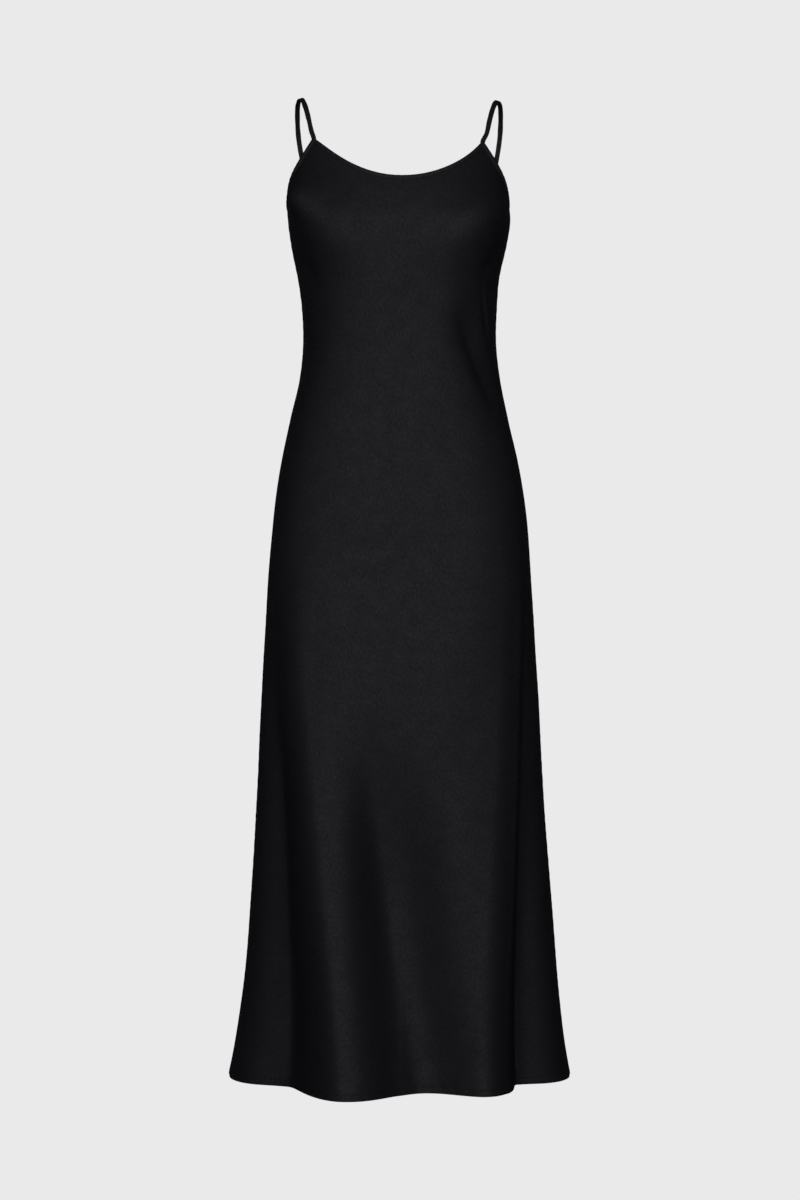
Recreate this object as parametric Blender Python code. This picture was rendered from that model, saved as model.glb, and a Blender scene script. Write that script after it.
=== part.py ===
"""Slip dress: a bias-cut, ankle-length dress on two thin straps, filled out as worn.

Frame: metres, +Z up, the front faces -Y and +X is the wearer's left.
The origin is midway between the two straps, under their highest points, where the
shoulders hold the dress.  Heights below it are negative.

The cloth is one closed surface in two parameters.  The angle runs round the body in
degrees: 0 is centre front, 90 the wearer's left side seam, 180 centre back and -90 the
right side seam.  The height is Z.  Each piece is a stretch of that surface with a
thickness, so neighbouring pieces share their seam line and only a small gap parts them.
"""

import bpy
import numpy as np

# Driving dimensions
HEM = -1.270
BODICE_LINE = -0.172
CLOTH = 0.0015
SEAM_GAP = 0.0003
GAP_BELOW_BINDING = 0.0005
TOP_SQUARENESS = 2.30

# Neck and armhole edges
FRONT_NECK = -0.1150
NECK_LEAN = 0.0045
RIGHT_APEX_RISE = 0.0045
FRONT_APEX = -0.0686
BACK_NECK = -0.1560
BACK_APEX = -0.1230
UNDERARM = -0.1400
SIDE = 90.0
FRONT_APEX_ANGLE = 47.5
BACK_APEX_ANGLE = 128.0
APEX_HALF_WIDTH = 1.6
SIDE_STRETCH = 20.0
NECK_POWER = 2.1
FRONT_ARMHOLE_POWER = 1.3
BACK_ARMHOLE_POWER = 1.6
NECK_LEAN_FADE_POWER = 8

# Bindings and straps
BINDING_WIDTH = 0.0060
BINDING_PROUD = 0.00060
STRAP_WIDTH = 0.0066
STRAP_THICKNESS = 0.0020
STRAP_GAP = 0.0006
STRAP_STEPS = 28
STRAP_SIDES = 8
STRAP_CORNER_POWER = 0.5

# Grid sizes
FRONT_COLUMNS = 47
BACK_COLUMNS = 29
YOKE_ROWS = 4
ROW_BANDS = ((HEM, -1.180, 3), (-1.180, -0.560, 8), (-0.560, BODICE_LINE, 9))
TRIAL_COLUMNS = 1201
CLEAR_OF_HELD = 0.6 * APEX_HALF_WIDTH
CREASE_ANGLE = 50.0
DERIVATIVE_STEP = 0.25
DERIVATIVE_RISE = 0.00025
ANGLE_TOLERANCE = 1e-9
GIRTH_FACTOR = 1.04

# The plain section at each level: how far the cloth stands from the middle of the
# dress to the wearer's right and left, and how far from the side seams to front and back.
SECTION_COLUMNS = ("height", "right", "left", "front", "back", "squareness")
SECTIONS = (
    (-0.030, 0.1400, 0.1345, 0.0820, 0.0720, 2.50),
    (-0.085, 0.1450, 0.1390, 0.0955, 0.0820, 2.60),
    (-0.142, 0.1458, 0.1416, 0.1096, 0.0880, 2.90),
    (-0.160, 0.1445, 0.1430, 0.1126, 0.0885, 3.00),
    (-0.190, 0.1402, 0.1392, 0.1140, 0.0880, 2.80),
    (-0.236, 0.1318, 0.1288, 0.1095, 0.0840, 2.50),
    (-0.275, 0.1276, 0.1251, 0.1052, 0.0790, 2.60),
    (-0.316, 0.1262, 0.1239, 0.1020, 0.0770, 2.65),
    (-0.366, 0.1309, 0.1288, 0.1006, 0.0830, 2.75),
    (-0.418, 0.1418, 0.1401, 0.1006, 0.0940, 3.00),
    (-0.470, 0.1528, 0.1522, 0.1015, 0.1050, 3.20),
    (-0.522, 0.1608, 0.1612, 0.1040, 0.1130, 3.28),
    (-0.600, 0.1688, 0.1681, 0.1050, 0.1170, 3.30),
    (-0.730, 0.1781, 0.1768, 0.1050, 0.1140, 3.25),
    (-0.886, 0.1847, 0.1860, 0.1070, 0.1120, 3.15),
    (-1.042, 0.1941, 0.1973, 0.1120, 0.1160, 3.05),
    (-1.172, 0.2055, 0.2080, 0.1180, 0.1220, 3.00),
    (-1.235, 0.2145, 0.2152, 0.1220, 0.1260, 3.00),
    (-1.270, 0.2213, 0.2210, 0.1250, 0.1290, 3.00),
)

# The skirt's folds, round the dress from centre back to centre back.  Each ridge or
# trough starts at a height and an angle near the hip and runs down to its hem angle.
# Midway and at the hem it stands out from the plain section by the next two columns.
# A sharper fold takes up less of the way to its neighbour, and a lean, in metres to a
# degree, is the slope kept at a fold's edge.  The columns are: hem angle, start angle,
# start height, out midway, out at the hem, sharpness, lean.
FOLDS = {
    "centre back": (-180.0, -180.0, -0.620, 0.001, 0.002, 1.0, 0.0),
    "back ridge right": (-158.0, -150.0, -0.600, 0.013, 0.030, 1.2, 0.0),
    "back trough right": (-132.0, -118.0, -0.560, -0.010, -0.022, 1.6, 0.0),
    "side right": (-90.0, -90.0, -0.540, 0.000, 0.000, 1.0, -0.0009),
    "front trough right": (-43.0, -77.0, -0.590, -0.016, -0.032, 1.0, 0.0),
    "front ridge right": (-13.0, -45.0, -0.590, 0.030, 0.060, 1.1, 0.0),
    "front hollow": (8.5, -8.0, -0.590, 0.025, 0.037, 1.0, 0.0),
    "front ridge left": (21.5, 50.0, -0.560, 0.017, 0.041, 1.0, 0.0),
    "fold edge left": (32.0, 64.0, -0.560, 0.008, 0.020, 1.0, -0.0040),
    "fold trough left": (48.5, 74.0, -0.560, -0.016, -0.042, 1.2, 0.0),
    "side left": (90.0, 90.0, -0.540, 0.000, 0.000, 1.0, 0.0009),
    "back trough left": (126.0, 112.0, -0.580, -0.011, -0.024, 1.0, 0.0),
    "back ridge left": (151.0, 142.0, -0.620, 0.014, 0.033, 1.5, 0.0),
    "centre back again": (180.0, 180.0, -0.620, 0.001, 0.002, 1.0, 0.0),
}
FOLD_DRIFT_POWER = 1.25

# Soft rises over the bust, as bell curves: angle, height, spread in angle, spread in
# height, out.
RISES = {
    "bust left": (37.0, -0.184, 18.0, 0.046, 0.0085),
    "bust right": (-39.0, -0.184, 18.0, 0.046, 0.0095),
    "bust side right": (-55.0, -0.140, 14.0, 0.028, 0.0185),
    "bust side left": (54.0, -0.152, 15.0, 0.032, 0.0065),
}

# Long soft valleys along lines, each from an angle and height to another: then come the
# width on the side of centre front or back, the width on the side of the side seam, and
# how far the valley stands out, which is less than nothing.
VALLEYS = {
    "front valley": (-11.0, -0.755, 15.0, -1.600, 0.0480, 0.0270, -0.0400),
}
VALLEY_FADE_IN = 0.35
VALLEY_FADE_OUT = 0.45

# Route of the wearer's right strap between its two ends: across, front to back, up.
STRAP_ROUTE = (
    (0.1128, -0.0668, -0.0540),
    (0.1164, -0.0620, -0.0380),
    (0.1208, -0.0478, -0.0205),
    (0.1262, -0.0240, -0.0058),
    (0.1306, 0.0000, -0.0009),
    (0.1338, 0.0220, -0.0058),
    (0.1348, 0.0400, -0.0210),
    (0.1340, 0.0520, -0.0400),
    (0.1300, 0.0590, -0.0670),
)
SHOULDER_SLOPE = 0.35
LEFT_STRAP_INSET = 0.0025
LEFT_STRAP_DROP = 0.0030

BLACK = (0.013, 0.013, 0.014, 1.0)
BINDING_BLACK = (0.016, 0.016, 0.017, 1.0)
CLOTH_ROUGHNESS = 0.55
BINDING_ROUGHNESS = 0.50


def clear_scene():
    for existing in list(bpy.data.objects):
        bpy.data.objects.remove(existing, do_unlink=True)


def smooth_step(share):
    share = np.clip(share, 0.0, 1.0)
    return share * share * (3.0 - 2.0 * share)


def through(stations, values, at):
    """Cubic through the stations' values, with each slope taken from its neighbours."""
    stations = np.asarray(stations, float)
    values = np.asarray(values, float)
    slopes = np.gradient(values, stations)
    at = np.clip(at, stations[0], stations[-1])
    cell = np.clip(np.searchsorted(stations, at) - 1, 0, len(stations) - 2)
    span = stations[cell + 1] - stations[cell]
    t = (at - stations[cell]) / span
    return (
        values[cell] * (1 + 2 * t) * (1 - t) ** 2
        + values[cell + 1] * t * t * (3 - 2 * t)
        + span * slopes[cell] * t * (1 - t) ** 2
        - span * slopes[cell + 1] * t * t * (1 - t)
    )


def section(column, height):
    """One column of the section table, read at any height."""
    rows = np.array(SECTIONS)[::-1]
    return through(rows[:, 0], rows[:, SECTION_COLUMNS.index(column)], height)


def signed_power(value, power):
    return np.sign(value) * np.abs(value) ** power


def bell(distance, width):
    return np.exp(-np.square(distance / width))


def wrapped(angle):
    """The same angle, between -180 and 180 degrees."""
    return (np.asarray(angle, float) + 180.0) % 360.0 - 180.0


def fold_height(angle, height):
    """How far the folds push the cloth out: smooth steps from each ridge to its trough.

    Each fold's push is a parabola in the share of the way down from its start to the
    hem, through its middle and hem values.  Its angle drifts from the start angle to
    the hem angle by a power of the share still to go.  A lean, in metres to a degree,
    is the slope that the step keeps at that fold.
    """
    before = None
    for hem_angle, start_angle, start_height, middle_out, hem_out, sharpness, lean in FOLDS.values():
        down = np.clip((start_height - height) / (start_height - HEM), 0.0, 1.0)
        here = hem_angle + (start_angle - hem_angle) * (1.0 - down) ** FOLD_DRIFT_POWER
        out = middle_out * 4.0 * down * (1.0 - down) + hem_out * down * (2.0 * down - 1.0)
        lean = lean * down * down
        if before is None:
            pushed = out
        else:
            angle_before, out_before, lean_before = before
            width = here - angle_before
            share = np.clip((angle - angle_before) / width, 0.0, 1.0)
            step = smooth_step(0.5 + sharpness * (share - 0.5))
            bend = lean_before * (1.0 - share) - lean * share
            pushed = pushed + (out - out_before) * step + width * share * (1.0 - share) * bend
        before = here, out, lean
    return pushed


def rises(angle, height):
    """Sum of the bell-shaped rises."""
    total = 0.0
    for at_angle, at_height, angle_spread, height_spread, out in RISES.values():
        aside = bell(wrapped(angle - at_angle), angle_spread)
        total = total + out * aside * bell(height - at_height, height_spread)
    return total


def girth_radius(height):
    """Radius of a round with about the same girth as the dress at a height."""
    across = 0.5 * (section("right", height) + section("left", height))
    deep = 0.5 * (section("front", height) + section("back", height))
    return 0.5 * (across + deep) * GIRTH_FACTOR


def valleys(angle, height):
    """Sum of the valleys: a bell across each line, faded in and out along it."""
    total = 0.0
    for line in VALLEYS.values():
        from_angle, from_height, to_angle, to_height, width, side_width, depth = line
        metres = np.radians(girth_radius(0.5 * (from_height + to_height)))
        run = wrapped(to_angle - from_angle) * metres
        rise = to_height - from_height
        length = np.hypot(run, rise)
        x = wrapped(angle - from_angle) * metres
        y = height - from_height
        along = (x * run + y * rise) / length**2
        aside = (x * rise - y * run) / length
        to_side = aside * np.sin(np.radians(2.0 * from_angle)) * np.sign(rise) > 0.0
        fade = smooth_step(along / VALLEY_FADE_IN) * smooth_step((1.0 - along) / VALLEY_FADE_OUT)
        total = total + depth * fade * bell(aside, np.where(to_side, side_width, width))
    return total


def from_front(angle):
    """Degrees between an angle and centre front, either way round."""
    return np.abs(wrapped(angle))


def across_share(angle):
    """How far out from the middle an angle is, from 0 at centre front or back to 1."""
    return np.abs(np.sin(np.radians(angle))) ** (2.0 / TOP_SQUARENESS)


def surface(angle, height):
    """The cloth's outer face: a rounded section, pushed out along its own normal."""
    angle, height = np.broadcast_arrays(wrapped(angle), np.asarray(height, float))
    turn = np.radians(angle)
    across = np.where(turn < 0, section("right", height), section("left", height))
    deep = np.where(np.cos(turn) > 0, section("front", height), section("back", height))
    power = section("squareness", height)
    share = across_share(angle)
    depth_share = (1.0 - share**power) ** (1.0 / power)
    x = across * np.sign(turn) * share
    y = -deep * np.sign(np.cos(turn)) * depth_share
    normal_x = np.sign(turn) * share ** (power - 1.0) / across
    normal_y = -np.sign(np.cos(turn)) * depth_share ** (power - 1.0) / deep
    length = np.hypot(normal_x, normal_y)
    out = fold_height(angle, height) + rises(angle, height) + valleys(angle, height)
    return np.stack([x + out * normal_x / length, y + out * normal_y / length, height], axis=-1)


def normals(angle, height):
    """Outward normals of the surface, from its slopes round and up."""
    rise = DERIVATIVE_RISE
    around = surface(angle + DERIVATIVE_STEP, height) - surface(angle - DERIVATIVE_STEP, height)
    upward = surface(angle, height + rise) - surface(angle, height - rise)
    normal = np.cross(around, upward)
    return normal / np.linalg.norm(normal, axis=-1, keepdims=True)


def layer(angle, height, out):
    """The surface moved out along its normals."""
    return surface(angle, height) + out * normals(angle, height)


def apex_height(angle):
    """Height of the strap point on the side of the dress where an angle is."""
    front = FRONT_APEX + np.where(wrapped(angle) < 0.0, RIGHT_APEX_RISE, 0.0)
    return np.where(from_front(angle) < SIDE, front, BACK_APEX)


def neck_line(angle):
    """Height of the neckline at an angle, running on past the strap points."""
    front = from_front(angle) < SIDE
    lowest = np.where(front, FRONT_NECK, BACK_NECK)
    apex = apex_height(angle)
    corner = np.where(front, FRONT_APEX_ANGLE - APEX_HALF_WIDTH, BACK_APEX_ANGLE + APEX_HALF_WIDTH)
    share = across_share(angle) / across_share(corner)
    lean = np.where(front, NECK_LEAN, 0.0) * np.sin(np.radians(angle))
    return lowest + (apex - lowest) * share**NECK_POWER - lean * (1.0 - share**NECK_LEAN_FADE_POWER)


def armhole_line(angle):
    """Height of the armhole at an angle, running on past the strap points."""
    front = from_front(angle) < SIDE
    corner = np.where(front, FRONT_APEX_ANGLE + APEX_HALF_WIDTH, BACK_APEX_ANGLE - APEX_HALF_WIDTH)
    apex = apex_height(angle)
    power = np.where(front, FRONT_ARMHOLE_POWER, BACK_ARMHOLE_POWER)
    return UNDERARM + (apex - UNDERARM) * ((SIDE - from_front(angle)) / (SIDE - corner)) ** power


def lowered(line, angle):
    """A line moved down until it is a binding's width away, whatever its slope."""
    reach = DERIVATIVE_STEP
    before = surface(angle - reach, line(angle - reach))
    after = surface(angle + reach, line(angle + reach))
    run = np.linalg.norm((after - before)[..., :2], axis=-1)
    slope = (after - before)[..., 2] / run
    return line(angle) - BINDING_WIDTH * np.sqrt(1.0 + slope * slope)


def past_sides(angle):
    """Whether an angle is near enough to a side seam that only the armhole is there."""
    return np.abs(from_front(angle) - SIDE) < SIDE_STRETCH


def finished_edge(angle):
    """The dress's top edge: neckline, a short flat under each strap, armhole."""
    apex = apex_height(angle)
    neck = np.where(past_sides(angle), np.inf, neck_line(angle))
    return np.minimum(apex, np.minimum(neck, armhole_line(angle)))


def binding_foot(angle):
    """Where the bindings end and the panels begin."""
    neck = np.where(past_sides(angle), np.inf, lowered(neck_line, angle))
    return np.minimum(neck, lowered(armhole_line, angle))


def quads(rows, columns, first, turned):
    """Faces of a grid of points, whose first point has the index first."""
    corner = first + (np.arange(rows - 1)[:, None] * columns + np.arange(columns - 1)).ravel()
    faces = np.stack([corner, corner + 1, corner + columns + 1, corner + columns], axis=1)
    return faces[:, ::-1] if turned else faces


def rim(outer_line, inner_line):
    """Faces that close the wall along one border, from its outer and inner indices."""
    return np.stack([outer_line[1:], outer_line[:-1], inner_line[:-1], inner_line[1:]], axis=1)


def walled(name, outer, inner, material):
    """A closed solid from the outer and inner faces of a stretch of cloth."""
    rows, columns = outer.shape[:2]
    count = rows * columns
    index = np.arange(count).reshape(rows, columns)
    borders = (index[0], index[:, -1], index[-1, ::-1], index[::-1, 0])
    faces = [quads(rows, columns, 0, False), quads(rows, columns, count, True)]
    faces += [rim(border, border + count) for border in borders]
    points = np.concatenate([outer.reshape(-1, 3), inner.reshape(-1, 3)])
    mesh = bpy.data.meshes.new(name)
    mesh.from_pydata(points.tolist(), [], np.concatenate(faces).tolist())
    mesh.validate()
    return placed(name, mesh, material)


def placed(name, mesh, material):
    mesh.shade_smooth()
    mesh.set_sharp_from_angle(angle=np.radians(CREASE_ANGLE))
    mesh.materials.append(material)
    item = bpy.data.objects.new(name, mesh)
    bpy.context.scene.collection.objects.link(item)
    return item


def fabric(name, colour, roughness):
    material = bpy.data.materials.new(name)
    material.use_nodes = True
    shader = material.node_tree.nodes["Principled BSDF"]
    shader.inputs["Base Color"].default_value = colour
    shader.inputs["Roughness"].default_value = roughness
    shader.inputs["Metallic"].default_value = 0.0
    material.diffuse_color = colour
    return material


def row_heights():
    """Levels of the skirt and waist, closer together where the shape bends more."""
    levels = [np.linspace(low, high, count, endpoint=False) for low, high, count in ROW_BANDS]
    return np.concatenate([*levels, [BODICE_LINE]])


def column_angles(start, end, count, held):
    """Angles spaced evenly along the folded cloth, with the held ones among them."""
    fine = np.linspace(start, end, TRIAL_COLUMNS)
    travelled = np.zeros(len(fine) - 1)
    for height in (HEM, 0.5 * (HEM + BODICE_LINE), BODICE_LINE):
        travelled += np.linalg.norm(np.diff(surface(fine, height), axis=0), axis=1)
    along = np.concatenate([[0.0], np.cumsum(travelled)])
    angles = np.interp(np.linspace(0.0, along[-1], count - len(held)), along, fine)
    clear = np.abs(angles[:, None] - np.array(held)).min(axis=1) > CLEAR_OF_HELD
    return np.sort(np.concatenate([angles[clear], held]))


def seam_allowance(height, side):
    """Degrees that half the seam gap takes up on the ring at that height."""
    step = DERIVATIVE_STEP
    chord = surface(side + step, height) - surface(side - step, height)
    return SEAM_GAP * step / np.linalg.norm(chord, axis=-1)


def panel(name, angles, material):
    """A front or back panel, from one side seam to the other and hem to binding."""
    top = binding_foot(angles) - GAP_BELOW_BINDING
    levels = row_heights()
    skirt = np.repeat(levels[:, None], len(angles), axis=1)
    share = (np.arange(YOKE_ROWS)[:, None] + 1.0) / YOKE_ROWS
    yoke = BODICE_LINE + share * (top - BODICE_LINE)
    height = np.concatenate([skirt, yoke])
    angle = np.repeat(angles[None, :], len(height), axis=0)
    angle[:, 0] += seam_allowance(height[:, 0], angles[0])
    angle[:, -1] -= seam_allowance(height[:, -1], angles[-1])
    walled(name, surface(angle, height), layer(angle, height, -CLOTH), material)


def binding(name, angles, material):
    """A bound edge: a band at the cloth's edge, a little proud of both its faces."""
    angles = angles.copy()
    angles[0] += seam_allowance(finished_edge(angles[0]), angles[0])
    angles[-1] -= seam_allowance(finished_edge(angles[-1]), angles[-1])
    height = np.stack([binding_foot(angles), finished_edge(angles)])
    angle = np.repeat(angles[None, :], 2, axis=0)
    outer = layer(angle, height, BINDING_PROUD)
    inner = layer(angle, height, -CLOTH - BINDING_PROUD)
    walled(name, outer, inner, material)


def between(angles, low, high):
    return angles[(angles >= low - ANGLE_TOLERANCE) & (angles <= high + ANGLE_TOLERANCE)]


def bindings(front, back, material):
    """The four bound edges, on the same angles as the panels below them."""
    front_end, back_end = FRONT_APEX_ANGLE, BACK_APEX_ANGLE
    left = [between(front, front_end, SIDE), between(back, SIDE, back_end)[1:]]
    right_back = between(back, 360.0 - back_end, 360.0 - SIDE) - 360.0
    right = [right_back, between(front, -SIDE, -front_end)[1:]]
    binding("neck_binding_front", between(front, -front_end, front_end), material)
    binding("neck_binding_back", between(back, back_end, 360.0 - back_end), material)
    binding("armhole_binding_left", np.concatenate(left), material)
    binding("armhole_binding_right", np.concatenate(right), material)


def strap_end(angle, side):
    """Where a strap leaves the bound edge, and the way its width lies there."""
    apex = apex_height(side * angle)
    lifted = apex + STRAP_GAP
    middle = layer(side * angle, lifted, -0.5 * CLOTH)
    reach = DERIVATIVE_STEP
    around = surface(side * (angle + reach), apex) - surface(side * (angle - reach), apex)
    return middle, around / np.linalg.norm(around)


def strap(name, side, material):
    """A flat rouleau strap: a rounded section carried along its route over the shoulder."""
    inset, drop = (LEFT_STRAP_INSET, LEFT_STRAP_DROP) if side > 0 else (0.0, 0.0)
    front, front_width = strap_end(FRONT_APEX_ANGLE, side)
    back, back_width = strap_end(BACK_APEX_ANGLE, side)
    route = np.array(STRAP_ROUTE)
    route[:, 0] = side * (route[:, 0] - inset)
    route[:, 2] -= drop
    knots = np.concatenate([[front], route, [back]])
    chord = np.concatenate([[0.0], np.cumsum(np.linalg.norm(np.diff(knots, axis=0), axis=1))])
    along = np.linspace(0.0, chord[-1], STRAP_STEPS + 1)
    line = np.stack([through(chord, knots[:, axis], along) for axis in range(3)], axis=1)
    forward = np.gradient(line, along, axis=0)
    forward[0] = (0.0, 0.0, 1.0)
    forward[-1] = (0.0, 0.0, -1.0)
    forward /= np.linalg.norm(forward, axis=1, keepdims=True)
    crest = np.array([side, 0.0, -SHOULDER_SLOPE])
    share = along / chord[-1]
    to_crest = smooth_step(2.0 * share)[:, None]
    from_crest = smooth_step(2.0 * share - 1.0)[:, None]
    width = front_width * (1 - to_crest) + crest * to_crest
    width = width * (1 - from_crest) - back_width * from_crest
    width -= (width * forward).sum(axis=1, keepdims=True) * forward
    width /= np.linalg.norm(width, axis=1, keepdims=True)
    thick = np.cross(forward, width)
    corners = np.radians((np.arange(STRAP_SIDES) + 0.5) * 360.0 / STRAP_SIDES)
    section_width = 0.5 * STRAP_WIDTH * signed_power(np.cos(corners), STRAP_CORNER_POWER)
    section_thick = 0.5 * STRAP_THICKNESS * signed_power(np.sin(corners), STRAP_CORNER_POWER)
    rings = (
        line[:, None, :]
        + section_width[None, :, None] * width[:, None, :]
        + section_thick[None, :, None] * thick[:, None, :]
    )
    return tube(name, rings, material)


def tube(name, rings, material):
    """A closed tube through rings of points, with flat ends."""
    count, sides = rings.shape[:2]
    index = np.arange(count * sides).reshape(count, sides)
    nearer, further = index[:-1], index[1:]
    around = np.roll(nearer, -1, axis=1), np.roll(further, -1, axis=1)
    faces = np.stack([nearer, around[0], around[1], further], axis=-1).reshape(-1, 4).tolist()
    faces += [index[0, ::-1].tolist(), index[-1].tolist()]
    mesh = bpy.data.meshes.new(name)
    mesh.from_pydata(rings.reshape(-1, 3).tolist(), [], faces)
    mesh.validate()
    return placed(name, mesh, material)


def main():
    clear_scene()
    cloth = fabric("cloth", BLACK, CLOTH_ROUGHNESS)
    trim = fabric("binding", BINDING_BLACK, BINDING_ROUGHNESS)
    points = np.array([-APEX_HALF_WIDTH, 0.0, APEX_HALF_WIDTH])
    front_held = np.concatenate([points - FRONT_APEX_ANGLE, points + FRONT_APEX_ANGLE])
    back_held = np.concatenate([points + BACK_APEX_ANGLE, points + 360.0 - BACK_APEX_ANGLE])
    front = column_angles(-SIDE, SIDE, FRONT_COLUMNS, front_held)
    back = column_angles(SIDE, 360.0 - SIDE, BACK_COLUMNS, back_held)
    panel("front_panel", front, cloth)
    panel("back_panel", back, cloth)
    bindings(front, back, trim)
    strap("strap_right", -1.0, trim)
    strap("strap_left", 1.0, trim)


main()
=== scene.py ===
"""Looks of a slip dress in black crepe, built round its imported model.

Frame: metres, +Z up, the front faces -Y and +X is the wearer's left.  The origin is
midway between the straps' highest points.

The cloth is one surface in two parameters: an angle round the body in degrees (0 centre
front, 90 the wearer's left side, 180 centre back) and a height Z.  Panels are stretches
of it, bindings are profiles carried along its edges, and straps and stitches are
profiles carried along lines.  Every shape is worked out as whole numpy arrays.
"""

import bpy
import numpy as np
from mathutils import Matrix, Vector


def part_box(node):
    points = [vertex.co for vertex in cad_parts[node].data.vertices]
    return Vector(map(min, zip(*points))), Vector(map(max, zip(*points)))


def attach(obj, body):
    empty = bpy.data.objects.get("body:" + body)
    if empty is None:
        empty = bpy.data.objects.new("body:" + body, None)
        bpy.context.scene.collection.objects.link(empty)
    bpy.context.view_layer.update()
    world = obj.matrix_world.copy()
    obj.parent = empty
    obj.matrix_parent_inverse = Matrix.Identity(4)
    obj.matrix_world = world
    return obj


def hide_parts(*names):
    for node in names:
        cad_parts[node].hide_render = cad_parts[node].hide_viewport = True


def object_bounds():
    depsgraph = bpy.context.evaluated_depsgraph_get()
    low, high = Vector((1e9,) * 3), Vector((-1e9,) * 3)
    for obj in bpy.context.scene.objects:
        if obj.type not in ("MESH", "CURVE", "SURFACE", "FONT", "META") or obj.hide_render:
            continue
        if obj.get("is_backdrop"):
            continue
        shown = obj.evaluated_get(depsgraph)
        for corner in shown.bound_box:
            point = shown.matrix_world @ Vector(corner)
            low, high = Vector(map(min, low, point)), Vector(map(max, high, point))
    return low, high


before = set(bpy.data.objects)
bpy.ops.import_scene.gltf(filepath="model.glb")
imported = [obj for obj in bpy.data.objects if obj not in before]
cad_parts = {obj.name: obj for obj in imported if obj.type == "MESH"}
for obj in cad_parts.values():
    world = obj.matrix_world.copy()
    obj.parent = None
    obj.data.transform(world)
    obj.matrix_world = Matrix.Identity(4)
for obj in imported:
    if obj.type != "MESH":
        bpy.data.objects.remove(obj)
CAD_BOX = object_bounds()

bl_info = {
    "name": "Slip dress",
    "version": (1, 0, 0),
    "blender": (4, 5, 0),
    "location": "3D View > Sidebar > Slip dress",
    "description": "Builds the panels, bindings, straps and stitching of a slip dress",
    "category": "Object",
}

# Levels taken from the frame
HEM = round(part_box("front_panel")[0].z, 3)
RIGHT_APEX_RISE = 0.0045
FRONT_APEX = round(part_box("neck_binding_front")[1].z - RIGHT_APEX_RISE, 4)
BACK_APEX = round(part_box("neck_binding_back")[1].z, 4)

# Edges and sections, in metres and degrees
BODICE_LINE = -0.172
TOP_SQUARENESS = 2.30
SIDE = 90.0
SIDE_STRETCH = 20.0
FRONT_NECK = -0.1150
NECK_LEAN = 0.0045
BACK_NECK = -0.1560
UNDERARM = -0.1400
FRONT_APEX_ANGLE = 47.5
BACK_APEX_ANGLE = 128.0
APEX_HALF_WIDTH = 1.6
NECK_POWER = 2.1
FRONT_ARMHOLE_POWER = 1.3
BACK_ARMHOLE_POWER = 1.6
NECK_LEAN_FADE_POWER = 8
GIRTH_FACTOR = 1.04

# How far apart the points are that the surface's slopes are taken from
STEP = 0.20
RISE_STEP = 0.0002

# The plain section at each level: how far the cloth stands from the middle of the dress
# to the wearer's right and left, and how far from the side seams to front and back.
SECTION_COLUMNS = ("height", "right", "left", "front", "back", "squareness")
SECTIONS = (
    (-0.030, 0.1400, 0.1345, 0.0820, 0.0720, 2.50),
    (-0.085, 0.1450, 0.1390, 0.0955, 0.0820, 2.60),
    (-0.142, 0.1458, 0.1416, 0.1096, 0.0880, 2.90),
    (-0.160, 0.1445, 0.1430, 0.1126, 0.0885, 3.00),
    (-0.190, 0.1402, 0.1392, 0.1140, 0.0880, 2.80),
    (-0.236, 0.1318, 0.1288, 0.1095, 0.0840, 2.50),
    (-0.275, 0.1276, 0.1251, 0.1052, 0.0790, 2.60),
    (-0.316, 0.1262, 0.1239, 0.1020, 0.0770, 2.65),
    (-0.366, 0.1309, 0.1288, 0.1006, 0.0830, 2.75),
    (-0.418, 0.1418, 0.1401, 0.1006, 0.0940, 3.00),
    (-0.470, 0.1528, 0.1522, 0.1015, 0.1050, 3.20),
    (-0.522, 0.1608, 0.1612, 0.1040, 0.1130, 3.28),
    (-0.600, 0.1688, 0.1681, 0.1050, 0.1170, 3.30),
    (-0.730, 0.1781, 0.1768, 0.1050, 0.1140, 3.25),
    (-0.886, 0.1847, 0.1860, 0.1070, 0.1120, 3.15),
    (-1.042, 0.1941, 0.1973, 0.1120, 0.1160, 3.05),
    (-1.172, 0.2055, 0.2080, 0.1180, 0.1220, 3.00),
    (-1.235, 0.2145, 0.2152, 0.1220, 0.1260, 3.00),
    (-1.270, 0.2213, 0.2210, 0.1250, 0.1290, 3.00),
)

# Skirt folds, each from its start near the hip down to its hem angle: hem angle, start
# angle, start height, out midway, out at the hem, sharpness, lean.
FOLDS = {
    "centre back": (-180.0, -180.0, -0.620, 0.001, 0.002, 1.0, 0.0),
    "back ridge right": (-158.0, -150.0, -0.600, 0.013, 0.030, 1.2, 0.0),
    "back trough right": (-132.0, -118.0, -0.560, -0.010, -0.022, 1.6, 0.0),
    "side right": (-90.0, -90.0, -0.540, 0.000, 0.000, 1.0, -0.0009),
    "front trough right": (-43.0, -77.0, -0.590, -0.016, -0.032, 1.0, 0.0),
    "front ridge right": (-13.0, -45.0, -0.590, 0.030, 0.060, 1.1, 0.0),
    "front hollow": (8.5, -8.0, -0.590, 0.025, 0.037, 1.0, 0.0),
    "front ridge left": (21.5, 50.0, -0.560, 0.017, 0.041, 1.0, 0.0),
    "fold edge left": (32.0, 64.0, -0.560, 0.008, 0.020, 1.0, -0.0040),
    "fold trough left": (48.5, 74.0, -0.560, -0.016, -0.042, 1.2, 0.0),
    "side left": (90.0, 90.0, -0.540, 0.000, 0.000, 1.0, 0.0009),
    "back trough left": (126.0, 112.0, -0.580, -0.011, -0.024, 1.0, 0.0),
    "back ridge left": (151.0, 142.0, -0.620, 0.014, 0.033, 1.5, 0.0),
    "centre back again": (180.0, 180.0, -0.620, 0.001, 0.002, 1.0, 0.0),
}
FOLD_DRIFT_POWER = 1.25

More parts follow.
